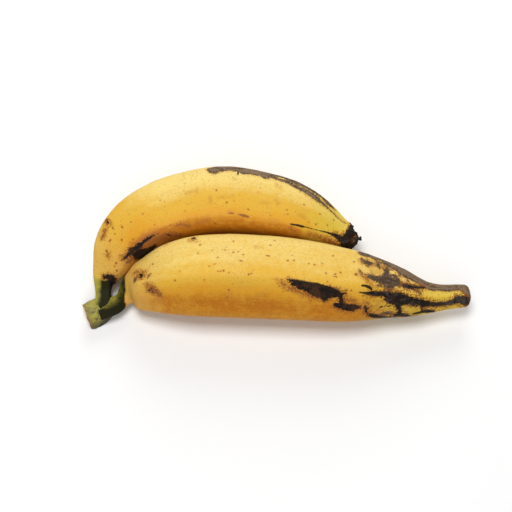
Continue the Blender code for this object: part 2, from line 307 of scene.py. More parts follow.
class Surface:
    """Rings of points carried along a middle line, in millimetres.

    The rings crowd toward both ends, and CAP_ROWS more of them round off the far end.
    """

    def __init__(self, stations, facets, rows, columns, end_length, bluntness, flattening, rounding):
        stations = np.array(stations)
        gaps = np.linalg.norm(np.diff(stations[:, :2], axis=0), axis=1)
        knots = np.concatenate([[0], np.cumsum(gaps)])
        self.total = knots[-1]
        share = np.linspace(0, 1, rows)
        body = (self.total - end_length) * (share - ROW_CROWDING * np.sin(2 * np.pi * share) / np.pi)
        turn = np.linspace(0, np.pi / 2, CAP_ROWS + 1)[1:]
        cap = self.total - end_length * (1 - np.sin(turn) ** (2 / 3))
        self.at = np.concatenate([body, cap])
        self.angles = np.linspace(0, 2 * np.pi, columns, endpoint=False)
        line = spline_through(knots, stations, self.at)
        lift, half_width = line[:, 2], line[:, 3]
        ending = ramp(self.at, self.total - end_length, end_length)
        radius = half_width * np.sqrt((1 - ending**bluntness).clip(1e-4, None))
        self.centre = np.column_stack([line[:, :2], lift + flattening * half_width])
        heading = np.gradient(line[:, :2], self.at, axis=0)
        heading /= np.linalg.norm(heading, axis=1)[:, None]
        outward = np.column_stack([-heading[:, 1], heading[:, 0], 0 * self.at])
        endness = np.abs(2 * self.at / self.total - 1) ** 2
        power = rounding + (END_ROUNDING - rounding) * endness
        wide, high = peel_sections(self.angles, facets, power)
        across = (radius[:, None] * wide)[..., None] * outward[:, None]
        rise = (radius[:, None] * high)[..., None] * np.array([0, 0, flattening])
        self.points = self.centre[:, None] + across + rise
        self.half_width = half_width

    def normals(self):
        """Outward unit normals: the slope along crossed with the slope round."""
        along = np.gradient(self.points, axis=0)
        around = np.roll(self.points, -1, 1) - np.roll(self.points, 1, 1)
        normal = np.cross(along, around)
        return normal / np.linalg.norm(normal, axis=2)[..., None].clip(1e-9, None)

    def push(self, depth):
        """Move every point outward by its own depth."""
        self.points = self.points + self.normals() * depth[..., None]

    def roughen(self, depth):
        """Push less and less toward the floor, and keep every point above it."""
        self.push(depth * ramp(self.points[..., 2], 0, FLOOR_FADE))
        self.points[..., 2] = self.points[..., 2].clip(0, None)

    def grid(self):
        """Each point's length along the line and its angle round it."""
        return np.meshgrid(self.at, self.angles, indexing="ij")

    def place(self, along, degrees):
        """The point at a length along the line and an angle round it."""
        row = np.interp(along, self.at, np.arange(len(self.at)))
        i = min(int(row), len(self.at) - 2)
        j = int(round(degrees / 360 * len(self.angles))) % len(self.angles)
        return self.points[i, j] * (i + 1 - row) + self.points[i + 1, j] * (row - i)

    def placed(self, chains):
        """Chains of (mm along, degrees round, half width), as chains of (point, half width)."""
        return [[(self.place(along, turn), half) for along, turn, half in chain] for chain in chains]

    def look(self):
        """Keep the points that face the camera, and the pixels at which they show."""
        toward = CAMERA_PLACE + FOOTPRINT_MIDDLE - self.points
        facing = (self.normals() * toward).sum(2) > 0
        self.facing_points = self.points[facing]
        self.facing_pixels = in_photo(self.facing_points)

    def seen_at(self, pixel):
        """The point that shows at a pixel, as the mean of its nearest few, and its miss."""
        miss = np.linalg.norm(self.facing_pixels - pixel, axis=1)
        near = np.argpartition(miss, NEAREST)[:NEAREST]
        weight = 1 / (miss[near] ** 2 + 0.01)
        return weight @ self.facing_points[near] / weight.sum(), miss[near].min()

    def traced(self, chains):
        """Chains of (pixels right, pixels down, half width), as chains of (point, half width).

        A half width is measured on the peel, from the middle of a mark out to its two
        edges, because the surface turns away from the camera.
        """
        carried = []
        for chain in chains:
            chain = np.array(chain, dtype=float)
            ways = np.gradient(chain[:, :2], axis=0) if len(chain) > 1 else np.ones((1, 2))
            links = []
            for (right, down, half), way in zip(chain, ways):
                middle, _ = self.seen_at((right, down))
                side = np.array([-way[1], way[0]]) / max(np.hypot(*way), 1e-6) * half
                edges = [self.seen_at((right + side[0] * k, down + side[1] * k)) for k in (-1, 1)]
                widths = [np.linalg.norm(edge - middle) for edge, miss in edges if miss < MISS_LIMIT]
                width = np.mean(widths) if widths else half * PIXEL_SIZE
                links.append((middle, np.clip(width, NARROWEST * half, WIDEST * half)))
            carried.append(links)
        return carried


def mark_depth(surface, chains):
    """How far inside the nearest mark each point lies, in mm; negative is outside.

    Each link of a chain is a tapered capsule between two points of the surface.
    """
    points = surface.points
    depth = np.full(points.shape[:2], -MARK_REACH)
    for chain in chains:
        for (start, thick), (end, thin) in list(zip(chain, chain[1:])) or [(chain[0], chain[0])]:
            span = end - start
            length = max(span @ span, 1e-9)
            share = ((points - start) @ span / length).clip(0, 1)
            gap = np.linalg.norm(points - start - share[..., None] * span, axis=2)
            depth = np.maximum(depth, thick + (thin - thick) * share - gap)
    return depth.clip(-MARK_REACH, MARK_REACH)


def ripples(surface, wavelength, seed, count=10):
    """Smooth unevenness between about -1 and 1: sine waves in random directions."""
    draw = np.random.default_rng(seed)
    total = np.zeros(surface.points.shape[:2])
    for _ in range(count):
        way = draw.normal(size=3)
        way *= 2 * np.pi / (np.linalg.norm(way) * wavelength * draw.uniform(0.7, 1.5))
        total += np.sin(surface.points @ way + draw.uniform(0, 2 * np.pi))
    return total / np.sqrt(count)


def closed_piece(name, surface, fields):
    """A closed mesh of the surface: quads between rings, a fan over each end.

    Every field becomes an attribute, and OFBake unrolls the peel into a rectangle.
    """
    rows, columns = surface.points.shape[:2]
    ends = np.array([surface.points[0].mean(0), surface.points[-1].mean(0)])
    points = (np.vstack([surface.points.reshape(-1, 3), ends]) - FOOTPRINT_MIDDLE) * MM
    i, j = np.meshgrid(np.arange(rows - 1), np.arange(columns), indexing="ij")
    k = (j + 1) % columns
    corners = [(i, j, j), (i + 1, j, j), (i + 1, k, j + 1), (i, k, j + 1)]
    quads = np.stack([(r * columns + c).ravel() for r, c, _ in corners], -1)
    unrolled = [np.stack([c.ravel() / columns, r.ravel() / (rows - 1)], -1) for r, _, c in corners]
    quad_map = np.stack(unrolled, 1)
    j = np.arange(columns)
    k = (j + 1) % columns
    first = np.full(columns, rows * columns)
    top = (rows - 1) * columns
    fans = np.vstack([np.stack([first, j, k], -1), np.stack([first + 1, top + k, top + j], -1)])
    low = np.stack([j + 0.5, j, j + 1], -1) / columns
    high = np.stack([j + 0.5, j + 1, j], -1) / columns
    fan_map = np.vstack([np.stack([low, 0 * low], -1), np.stack([high, 0 * high + 1], -1)])
    mesh = bpy.data.meshes.new(name)
    mesh.from_pydata(points.tolist(), [], quads.tolist() + fans.tolist())
    layer = mesh.uv_layers.new(name="OFBake")
    layer.data.foreach_set("uv", np.concatenate([quad_map.ravel(), fan_map.ravel()]))
    for field, values in fields.items():
        kind = "FLOAT" if values.ndim == 2 else "FLOAT_VECTOR"
        flat = values.reshape(rows * columns, -1)
        flat = np.vstack([flat, flat[:columns].mean(0), flat[-columns:].mean(0)])
        attribute = mesh.attributes.new(field, kind, "POINT")
        attribute.data.foreach_set("value" if kind == "FLOAT" else "vector", flat.ravel())
    mesh.shade_smooth()
    piece = bpy.data.objects.new(name, mesh)
    bpy.context.scene.collection.objects.link(piece)
    return piece


class Value:
    """A socket in a material's nodes; sums, differences and products add Math nodes."""

    def __init__(self, recipe, socket):
        self.recipe = recipe
        self.socket = socket

    def maths(self, operation, first, second):
        """The result of one Math node on two numbers or values."""
        return self.recipe.node("ShaderNodeMath", {"operation": operation}, {0: first, 1: second})

    def __add__(self, other):
        return self.maths("ADD", self, other)

    def __sub__(self, other):
        return self.maths("SUBTRACT", self, other)

    def __mul__(self, other):
        return self.maths("MULTIPLY", self, other)

    def __rsub__(self, other):
        return self.maths("SUBTRACT", other, self)

    __radd__ = __add__
    __rmul__ = __mul__


class Recipe:
    """A material under construction."""

    def __init__(self, name):
        self.material = bpy.data.materials.new(name)
        self.material.use_nodes = True
        self.tree = self.material.node_tree
        self.tree.nodes.clear()

    def node(self, kind, settings, sockets, output=0):
        """A node of one kind: its settings are made first, then its sockets set or linked."""
        made = self.tree.nodes.new(kind)
        for setting, value in settings.items():
            setattr(made, setting, value)
        for socket, value in sockets.items():
            if isinstance(value, Value):
                self.tree.links.new(value.socket, made.inputs[socket])
            else:
                made.inputs[socket].default_value = value
        return Value(self, made.outputs[output]) if made.outputs else None

    def field(self, name):
        """One number a point, read from the mesh."""
        return self.node("ShaderNodeAttribute", {"attribute_name": name}, {}, "Fac")

    def field_vector(self, name):
        """Three numbers a point, read from the mesh."""
        return self.node("ShaderNodeAttribute", {"attribute_name": name}, {}, "Vector")

    def place(self):
        """The point's own place in the object, in metres."""
        return self.node("ShaderNodeTexCoord", {}, {}, "Object")

    def stretch(self, vector, scale):
        """The vector with each axis multiplied by its own scale."""
        return self.node("ShaderNodeVectorMath", {"operation": "MULTIPLY"}, {0: vector, 1: scale})

    def noise(self, vector, scale, detail, roughness):
        """Noise around 0 that mostly stays between -1 and 1."""
        sockets = {"Vector": vector, "Scale": scale, "Detail": detail, "Roughness": roughness}
        return (self.node("ShaderNodeTexNoise", {}, sockets, "Fac") - 0.5) * 6

    def step(self, value, low, high):
        """Smoothly from 0 at low to 1 at high."""
        settings = {"interpolation_type": "SMOOTHSTEP", "clamp": True}
        sockets = {"Value": value, "From Min": low, "From Max": high, "To Min": 0.0, "To Max": 1.0}
        return self.node("ShaderNodeMapRange", settings, sockets, "Result")

    def blend(self, mask, under, over):
        """Colour under where the mask is 0, and over where it is 1."""
        settings = {"data_type": "RGBA", "blend_type": "MIX", "clamp_factor": True}
        over = over if isinstance(over, Value) else (*over, 1.0)
        under = under if isinstance(under, Value) else (*under, 1.0)
        return self.node("ShaderNodeMix", settings, {0: mask, 6: under, 7: over}, 2)

    def bump(self, height, strength, distance):
        """A normal tilted by the height's slope."""
        sockets = {"Height": height, "Strength": strength, "Distance": distance}
        return self.node("ShaderNodeBump", {}, sockets, "Normal")

    def finish(self, varying, fixed):
        """The Principled BSDF of this material, with its varying and its fixed sockets."""
        shader = self.node("ShaderNodeBsdfPrincipled", {}, {**fixed, **varying}, "BSDF")
        self.node("ShaderNodeOutputMaterial", {}, {"Surface": shader})
        return self.material


# Peel colours. LEMON, AMBER, OCHRE and the underside colour are painted light and shade, from the lit top
# to the shaded underside, and partly the ripe peel's deeper colour below. The stalk's near-black is painted
# shade, and the stain brown also paints shade in the gap between the fruits.
LEMON = (0.80, 0.61, 0.19)
AMBER = (0.68, 0.395, 0.043)
OCHRE = (0.66, 0.315, 0.022)
SHADED_UNDERSIDE = (0.44, 0.145, 0.007)
LEAF_GREEN = (0.62, 0.47, 0.055)
STALK_GREEN = (0.38, 0.32, 0.040)
STALK_MOSS = (0.22, 0.22, 0.035)
STALK_SHADE = (0.012, 0.011, 0.002)
FRECKLE = (0.25, 0.086, 0.016)
NECK = (0.68, 0.40, 0.085)
RED_BROWN = (0.19, 0.055, 0.014)
DARK_BROWN = (0.032, 0.019, 0.011)
MID_BROWN = (0.135, 0.072, 0.036)
DRY_GREY = (0.125, 0.092, 0.062)
TAN = (0.46, 0.20, 0.045)
STAIN_AND_SHADE_BROWN = (0.42, 0.16, 0.022)
OLIVE = (0.53, 0.285, 0.026)
SMUDGE = (0.50, 0.235, 0.028)
SCAR_DARK = (0.040, 0.028, 0.019)
SCAR_PALE = (0.20, 0.138, 0.090)
BLACK = (0.0065, 0.005, 0.004)
RUST = (0.46, 0.15, 0.02)
BURNT = (0.045, 0.020, 0.010)
ASHEN = (0.058, 0.045, 0.036)


def stalk_colour(recipe, straight):
    """Fibrous green, darker in streaks along the stalk, and painted near-black as shade on its shaded side.
    """
    streaks = recipe.noise(recipe.stretch(straight, (1.0, 1.0, 0.10)), 0.9, 5.0, 0.6)
    patches = recipe.noise(recipe.place(), 160.0, 4.0, 0.6)
    green = recipe.blend(recipe.step(patches, -0.8, 1.0), STALK_GREEN, STALK_MOSS)
    shade_and_streaks = recipe.step(recipe.field("shaded") + streaks * 0.12 + patches * 0.12, 0.15, 0.85)
    return recipe.blend(shade_and_streaks * 0.99, green, STALK_SHADE)


def peel_material(name):
    """Ripe peel: mottled yellow under freckles, stains, grey scars, black bruises and painted light and
    shade.
    """
    peel = Recipe(name)
    place = peel.place()
    straight = peel.field_vector("straight")
    broad = peel.noise(place, 55.0, 3.0, 0.55)
    mottle = peel.noise(place, 260.0, 5.0, 0.6)
    ragged = peel.noise(place, 700.0, 5.0, 0.65)
    specks = peel.noise(place, 1300.0, 2.0, 0.5)
    fine = peel.noise(place, 2600.0, 3.0, 0.6)
    bands = peel.noise(peel.stretch(straight, (1.0, 1.0, 0.12)), 0.10, 2.0, 0.5)
    fibres = peel.noise(peel.stretch(straight, (1.0, 1.0, 0.035)), 1.3, 4.0, 0.6)
    streaks = peel.noise(peel.stretch(straight, (1.0, 1.0, 0.16)), 0.60, 5.0, 0.65)
    combed = peel.noise(peel.stretch(straight, (0.25, 0.25, 1.0)), 1.1, 3.0, 0.6)

    wander = broad * 0.08 + bands * 0.06 + mottle * 0.09 + ragged * 0.07 + fibres * 0.05 + fine * 0.05
    # Painted light and shade: lemon where the peel faces the light, through amber and ochre, to a dark
    # shaded underside.
    painted_light = peel.field("painted_light") + wander
    colour = peel.blend(peel.step(painted_light, 1.0, 0.42), LEMON, AMBER)
    colour = peel.blend(peel.step(painted_light, 0.42, -0.10), colour, OCHRE)
    colour = peel.blend(peel.step(painted_light, -0.05, -0.60), colour, SHADED_UNDERSIDE)
    neck = peel.step(peel.field("neck") + mottle * 0.1, 0.0, 1.0)
    colour = peel.blend(neck * 0.75, colour, NECK)
    green = peel.step(peel.field("green") + mottle * 0.2, 0.1, 1.1)
    colour = peel.blend(green * 0.75, colour, LEAF_GREEN)
    dirt = peel.step(ragged * 0.6 + mottle * 0.4 + broad * 0.3, 0.0, 1.0)
    colour = peel.blend(dirt * 0.38, colour, OLIVE)
    rosy = peel.step(specks * 0.7 + fine * 0.4 + broad * 0.3, 0.55, 0.95)
    colour = peel.blend(rosy * 0.35, colour, TAN)
    smudged = peel.step(peel.field("smudge") + mottle * 0.8 + ragged * 0.8, -1.8, 1.8)
    colour = peel.blend(smudged * 0.55, colour, SMUDGE)
    # The stain brown is real stains, and also painted shade where a wide chain fills the gap between the
    # two fruits.
    stain_and_shade = peel.field("stain_and_shade") + mottle * 0.7 + ragged * 0.5 + specks * 0.5 + combed * 0.9
    colour = peel.blend(peel.step(stain_and_shade, -2.6, 2.4) * 0.80, colour, STAIN_AND_SHADE_BROWN)
    colour = peel.blend(peel.step(stain_and_shade + specks * 0.9, 0.4, 2.0) * 0.75, colour, RED_BROWN)
    flecked = peel.field("flecked")
    fleck_noise = ragged * 0.5 + specks * 0.5 + flecked * 0.4
    flecks = peel.step(fleck_noise, 0.50, 0.90) * peel.step(flecked, 0.0, 0.5)
    colour = peel.blend(flecks * 0.75, colour, TAN)

    cells = {"Vector": place, "Scale": 300.0, "Randomness": 1.0}
    nearest = peel.node("ShaderNodeTexVoronoi", {"feature": "F1"}, cells, "Distance")
    drawn = peel.node("ShaderNodeTexVoronoi", {"feature": "F1"}, cells, "Color")
    lot = peel.node("ShaderNodeSeparateColor", {}, {"Color": drawn}, "Red")
    size = peel.step(lot, 0.9, 1.0) * 0.06 + 0.04
    freckles = (1 - peel.step(nearest - size, -0.02, 0.05)) * peel.step(lot, 0.96, 0.97)
    colour = peel.blend(freckles * 0.8, colour, FRECKLE)
    dots = peel.field("dots") + specks * 0.10
    colour = peel.blend(peel.step(dots, -1.1, 0.2) * 0.45, colour, RUST)
    colour = peel.blend(peel.step(dots, -0.30, 0.06) * 0.88, colour, FRECKLE)

    brown = peel.field("brown") + mottle * 0.6 + ragged * 0.9 + specks * 0.7 + streaks * 0.4
    colour = peel.blend(peel.step(brown + specks * 0.8, -2.0, 0.2) * 0.75, colour, TAN)
    browned = peel.step(brown, -0.7, 0.1)
    colour = peel.blend(browned * 0.9, colour, MID_BROWN)
    crusted = peel.step(fine * 0.5 + streaks * 0.5 + ragged * 0.4, -0.6, 0.9)
    crust = peel.blend(crusted, DARK_BROWN, DRY_GREY)
    colour = peel.blend(peel.step(brown + specks * 0.4, 0.0, 0.9) * 0.95, colour, crust)
    stalk = peel.step(peel.field("stalk") + ragged * 0.4 + mottle * 0.4, -1.6, 1.4)
    colour = peel.blend(stalk, colour, stalk_colour(peel, straight))
    scar = peel.field("scar") + streaks * 0.5 + ragged * 0.4 + specks * 0.3
    colour = peel.blend(peel.step(scar + specks * 0.8, -1.8, 0.0) * 0.6, colour, TAN)
    scarred = peel.step(scar, -0.35, 0.20)
    grain = fibres * 0.35 + streaks * 0.25 + ragged * 0.45 + fine * 0.2
    grain = grain + peel.step(scar, 0.0, 1.6) * 0.9
    scar_tone = peel.blend(peel.step(grain, -0.1, 1.2), SCAR_DARK, SCAR_PALE)
    colour = peel.blend(scarred * 0.95, colour, scar_tone)
    # The black is bruises, the dry knob and dark scars, and also painted shadow: in the shorter fruit's
    # crease and its gap to the longer fruit, under its shoulder, at its stalk's top, and along the longer
    # fruit's lower edge.
    black = peel.field("black") + ragged * 0.55 + streaks * 0.40 + specks * 0.45 + mottle * 0.35 + 0.25
    halo = peel.step(black + specks * 1.4 + ragged * 0.6, -2.6, 0.2) * (1 - stalk)
    colour = peel.blend(halo * 0.8, colour, STAIN_AND_SHADE_BROWN)
    inner_halo = peel.step(black + specks * 1.2 + fine * 0.5, -1.6, 0.1) * (1 - stalk)
    colour = peel.blend(inner_halo * 0.9, colour, RED_BROWN)
    crisp = peel.step(peel.field("crisp") + ragged * 0.12 + specks * 0.14, -0.30, 0.12)
    blackened = peel.step(black, -0.30, 0.35)
    charred = peel.step(mottle * 0.7 + ragged * 0.5 + broad * 0.5, -0.3, 0.9)
    char = peel.blend(charred, BLACK, peel.blend(peel.step(flecked, 0.1, 0.6), BURNT, ASHEN))
    colour = peel.blend(crisp * 0.95, colour, BLACK)
    colour = peel.blend(blackened * 0.97, colour, char)
    rust_grain = peel.step(ragged * 0.6 + fine * 0.5, 0.05, 0.45)
    rusted = rust_grain * peel.step(peel.field("rust"), -1.5, 1.5)
    colour = peel.blend(rusted * 0.8, colour, RUST)

    rough = mottle * 0.02 + 0.46 + scarred * 0.26 + blackened * 0.18 + stalk * 0.12
    height = fibres * 0.06 + mottle * 0.07 + fine * 0.025 - freckles * 0.12 - blackened * 0.3
    height = height + scarred * ragged * 0.15 + browned * ragged * 0.10 + blackened * ragged * 0.08
    normal = peel.bump(height, 0.35, 0.0006)
    varying = {"Base Color": colour, "Roughness": rough, "Normal": normal}
    fixed = {"IOR": 1.45, "Specular IOR Level": 0.12}
    fixed.update({"Subsurface Weight": 0.05, "Subsurface Scale": 0.003})
    return peel.finish(varying, fixed)


MARK_NAMES = ("black", "crisp", "brown", "scar", "stain_and_shade", "smudge", "dots", "rust")

# In millimetres along the line: where both stalks end, where the pale neck ends and how
# far it fades, and how slowly the dry flecks begin. STRAIGHT_RADIUS is that of the straight
# tube on which the fibres of the peel are drawn.
STALK_END = 18.5
NECK_END = 50
NECK_FADE = 26
FLECK_FADE = 25
STRAIGHT_RADIUS = 24.0

# Relief: the lengths and heights of slow and quick waves, the depth of a bruise, the
# sizes of crumbs, and the height above the floor over which all of it fades in.
SLOW_WAVE = 28
SLOW_HEIGHT = 0.16
QUICK_WAVE = 7
QUICK_HEIGHT = 0.04
BRUISE_DEPTH = 0.22
CRUMB_SIZE = 5.5
FINE_CRUMB_SIZE = 2.2
FLOOR_FADE = 1.5


def straightened(along, angles, radius):
    """The places that the points would have on a straight tube."""
    return np.stack([radius * np.cos(angles), radius * np.sin(angles), along], -1)


def fruit_fields(surface, marks, lean, turned_share, tones, flecked_from, green, shaded):
    """The peel's attributes: marks' depths, the straightened place, painted light and shade, and slow
    changes.

    The painted light leans from straight above toward the back: the tone is painted lighter
    where the peel faces it and darker underneath, partly as the ripe peel's deeper colour
    there. A share of the tone follows the angle round the line and the rest follows the true
    surface.
    """
    along, angles = surface.grid()
    fields = {name: mark_depth(surface, marks.get(name, [])) for name in MARK_NAMES}
    fields["straight"] = straightened(along, angles, STRAIGHT_RADIUS)
    facing = surface.normals() @ np.array([0, np.sin(lean), np.cos(lean)])
    tone = turned_share * np.cos(angles - lean) + (1 - turned_share) * facing
    fields["painted_light"] = np.interp(tone, *zip(*tones))
    fields["neck"] = ramp(along, NECK_END, -NECK_FADE)
    fields["stalk"] = STALK_END - along + ripples(surface, 6, seed=5) * 0.8
    fields["green"] = green(along, angles)
    fields["shaded"] = shaded(along, angles).clip(0, 1)
    fields["flecked"] = ramp(along, flecked_from, FLECK_FADE) * 0.8
    return fields


def weather(surface, fields, crumble, crumbling):
    """Small true relief: slow waves, sunken bruises, and a crumbly dry tip.

    The crumbs are as high as crumble says, on the last millimetres that crumbling says.
    """
    end = ramp(surface.at, surface.total - crumbling, 0.6 * crumbling)[:, None]
    fade_in = ramp(surface.at, 4, 12)[:, None]
    slow = SLOW_HEIGHT * ripples(surface, SLOW_WAVE, seed=11)
    quick = QUICK_HEIGHT * ripples(surface, QUICK_WAVE, seed=12)
    depth = slow * fade_in + quick
    depth -= BRUISE_DEPTH * ramp(fields["black"], -0.5, 1.5)
    crumbs = np.abs(ripples(surface, CRUMB_SIZE, seed=13, count=30))
    fine_crumbs = np.abs(ripples(surface, FINE_CRUMB_SIZE, seed=14, count=30))
    depth += crumble * end * (0.9 - (crumbs + 0.5 * fine_crumbs))
    surface.roughen(depth)


# Painted light and shade on the peel, from underside to top: (how far it faces up, painted
# tone). Low tones are darker, partly the ripe peel's own deeper colour and partly painted shade.
LONGER_TONES = [
    (-0.9, -0.28), (-0.6, -0.38), (-0.2, -0.46), (-0.08, -0.27),
    (0.1, 0.17), (0.26, 0.38), (0.8, 0.67), (1, 0.88),
]
SHORTER_TONES = [
    (-0.8, -0.5), (-0.45, -0.52), (-0.15, -0.46), (0, -0.26), (0.1, 0), (0.3, 0.3),
    (0.55, 0.54), (0.8, 0.94), (1, 1.05),
]

# The green of the longer fruit's stalk ends in a straight edge across its shoulder, and
# its tip has a brown rim.
STALK_EDGE = -85.2
RIM_WIDTH = 2.9
RIM_DEPTH = 1.5


def longer_green(along, angles):
    """The beak is greenish, and below it the green reaches further back."""
    below = ramp(along, 168, 24) * (0.4 - np.sin(angles)).clip(0, 1)
    return np.maximum(ramp(along, 195, 30), below)


def longer_shade(along, angles):
    """Painted shade: the stalk is painted dark underneath, and darker where it meets the fruit."""
    return 0.8 - 0.5 * np.cos(angles - radians(75)) + 0.4 * ramp(along, 15, 8)


longer = Surface(
    LONGER_STATIONS, LONGER_FACETS, LONGER_ROWS, COLUMNS, LONGER_TIP, BLUNT, FLATTENING, BODY_ROUNDING
)
longer.look()
longer_marks = {
    "black": longer.traced(LONGER_BLACK),
    "crisp": longer.traced(LONGER_CRISP),
    "brown": longer.traced(LONGER_BROWN) + longer.placed(LONGER_HIDDEN_BROWN),
    "scar": longer.traced(LONGER_SCAR) + longer.placed(LONGER_HIDDEN_SCAR),
    "stain_and_shade": longer.traced(LONGER_STAIN),
    "smudge": longer.traced(LONGER_SMUDGE),
    "dots": longer.traced([[dot] for dot in LONGER_DOTS]),
}
longer_fields = fruit_fields(
    longer,
    longer_marks,
    lean=radians(45),
    turned_share=0.5,
    tones=LONGER_TONES,
    flecked_from=168.0,
    green=longer_green,
    shaded=longer_shade,
)
stalk_depth = 2.0 * (STALK_EDGE - longer.points[..., 0])
longer_fields["stalk"] = stalk_depth + 0.8 * ripples(longer, 5, seed=24)
rim = 1.2 * (longer.at[:, None] - (longer.total - RIM_WIDTH)) + 0.5 * ripples(longer, 4, seed=21)
longer_fields["brown"] = np.maximum(longer_fields["brown"], rim.clip(-MARK_REACH, RIM_DEPTH))

# Islands of yellow peel stay free inside the brown.
islands = mark_depth(longer, longer.traced(LONGER_ISLANDS))
longer_fields["brown"] = np.minimum(longer_fields["brown"], -1.5 * islands)
weather(longer, longer_fields, crumble=0.12, crumbling=6.0)
longer_piece = closed_piece("longer_fruit", longer, longer_fields)
peel_finish = peel_material("ripe_peel")
longer_piece.data.materials.append(peel_finish)
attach(longer_piece, "root")
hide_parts(NODE)

# The shorter plantain: bowed, lying against the longer one, with its flower end dried
# to a black crumbling knob and a grey rub scar along the outer ridge.
SHORTER_STATIONS = [
    (-102.0, -32.0, 3.0, 5.0),
    (-99.9, -25.5, 4.0, 5.1),
    (-100.0, -18.0, 5.5, 5.3),
    (-99.4, -13.0, 6.5, 6.8),
    (-96.6, -6.5, 6.5, 10.4),
    (-90.0, 5.5, 4.5, 16.0),
    (-81.5, 15.2, 2.5, 19.0),
    (-69.0, 24.7, 1.2, 20.8),
    (-52.3, 32.1, 0.1, 21.9),
    (-32.0, 36.4, -0.5, 22.7),
    (-14.0, 36.9, -0.6, 22.7),
    (4.3, 34.7, -0.4, 21.7),
    (23.5, 30.6, 0.5, 19.7),
    (38.0, 25.3, 2.2, 16.6),
    (50.5, 19.5, 5.5, 12.1),
    (60.0, 15.9, 9.0, 8.8),
    (64.5, 15.1, 10.8, 7.7),
    (67.5, 15.0, 12.0, 6.4),
]
SHORTER_FACETS = (5, 98, 175, 232, 275)
SHORTER_ROWS = 380
SHORTER_TIP = 7.0
SHORTER_BLUNTNESS = 1.6
SHORTER_ROUNDING = 4.4
SHORTER_BLACK = [
    [(333, 234.4, 0.9), (336.5, 236.4, 1.9), (341, 239, 3.4)],
    # Partly black bruise, partly painted shadow: the crease under the fruit near the stalk, and the black
    # pocket where it meets the longer fruit.
    [(126, 257, 1.3), (131.4, 251.8, 2.6), (136, 248.4, 2.4), (140.1, 245, 1.9)],
    [(140.1, 245, 1.7), (144.5, 241.6, 1.1), (149, 238.5, 0.6), (154, 235.6, 0.1)],
    [(134, 254.5, 2), (140, 254.5, 3.6), (146, 253, 3.6), (150.5, 249.5, 2.4), (154, 246.5, 1.3)],
    [(137, 257, 1.6), (142, 256.5, 1.8)],
    # Partly a dark scar, partly painted shadow under the overhanging body: the black patch at the top of
    # the stalk.
    [(104.8, 277, 1.4), (108, 277.2, 2.4), (111.5, 278, 2.8), (114, 280.5, 1.8)],
    [(111, 280.5, 2.2), (112, 284.5, 1.4)],
    [(107.2, 221.8, 0.7), (107.8, 222.8, 0.6)],
]
SHORTER_CRISP = [
    [(237.9, 172.5, 0.9), (237.9, 175, 0.7)],
    [(289.9, 224.2, 0.4), (294, 224.5, 0.7), (299, 225.6, 1), (303, 226.6, 0.7), (307, 227.5, 0.4)],
    [
        (307, 227.5, 0.3), (313, 229, 0.3), (319, 230.4, 0.3), (324, 231.5, 0.5), (328, 232.6, 0.8),
        (333, 234.6, 1.1),
    ],
    # Partly bruise, partly painted shadow: the crisp dark line of the crease near the stalk.
    [(132, 250.8, 1), (140, 244.6, 1.1), (149, 238.2, 0.9), (154, 235.4, 0.6), (159, 232.9, 0.1)],
    [(121.5, 260.5, 0.4), (124.5, 258.2, 0.8), (127.5, 255.3, 1)],
    [(166.5, 234.4, 0.1), (169, 235.2, 0.5), (172.5, 236.6, 0.2)],
]
SHORTER_BROWN = [
    [(131, 260.5, 0.6), (127, 262, 0.6)],
]
SHORTER_FLECKS = [
    [(174, 227, 0.3), (180, 225, 0.4), (185, 224, 0.3)],
    [(105.8, 231, 0.5), (104.5, 233, 0.6), (102.3, 237.5, 0.6), (100.8, 240.3, 0.4)],
    [(106.5, 251, 0.9), (107.5, 252, 0.6)],
    [(109.3, 241, 0.5), (110.8, 240, 0.6)],
    [(121.5, 226.4, 0.4), (122.6, 227.8, 0.5)],
    [(112.4, 227, 0.4), (113.4, 229, 0.5)],
    [(105.8, 220, 0.5), (106.4, 219, 0.5)],
    [(228.5, 213, 0.3), (233, 213.5, 0.6)],
    [(238.5, 214.4, 0.4), (244, 215.6, 1.3), (248.5, 216.9, 0.8)],
    [(308.4, 222.2, 0.3), (308.8, 222.4, 0.3)],
    [(315.5, 223.8, 0.3), (315.8, 225, 0.3)],
]
SHORTER_SCAR = [
    [(209.8, 168.4, 0.8), (210, 172.4, 0.8)],
    [
        (211.5, 169.9, 2.3), (215, 170.2, 2.6), (220, 170, 2.2), (228, 169.6, 1.8), (236, 169.6, 1.6),
        (244, 171, 2.4),
    ],
    [(244, 171, 2.4), (252, 171.8, 2.6), (260, 173, 2.6), (266.5, 174.6, 2.3)],
    [
        (266.5, 175.3, 1.3), (272, 177, 1.2), (280, 179.8, 1), (288, 182.2, 1), (296, 186.4, 1.6),
        (303, 190, 2.2),
    ],
    [
        (303, 190, 2.2), (309, 193.2, 2.6), (314, 196.2, 2.3), (319, 200.2, 1.8), (323, 203.4, 1.3),
        (327, 207, 0.8),
    ],
    [(327, 207, 0.8), (331, 211, 0.3), (338, 218, 0.15), (345, 223, 0.1)],
    [
        (266.5, 172.8, 1.2), (274, 175, 1), (282, 177.2, 0.8), (290, 179.8, 0.9), (298, 183, 1.4),
        (304, 186, 1.8),
    ],
    [
        (304, 186, 1.8), (311, 189.6, 1.6), (317, 193.4, 0.9), (323, 197.8, 0.6), (327.5, 202.3, 1.1),
        (332, 206.5, 1), (335, 210, 0.4),
    ],
]
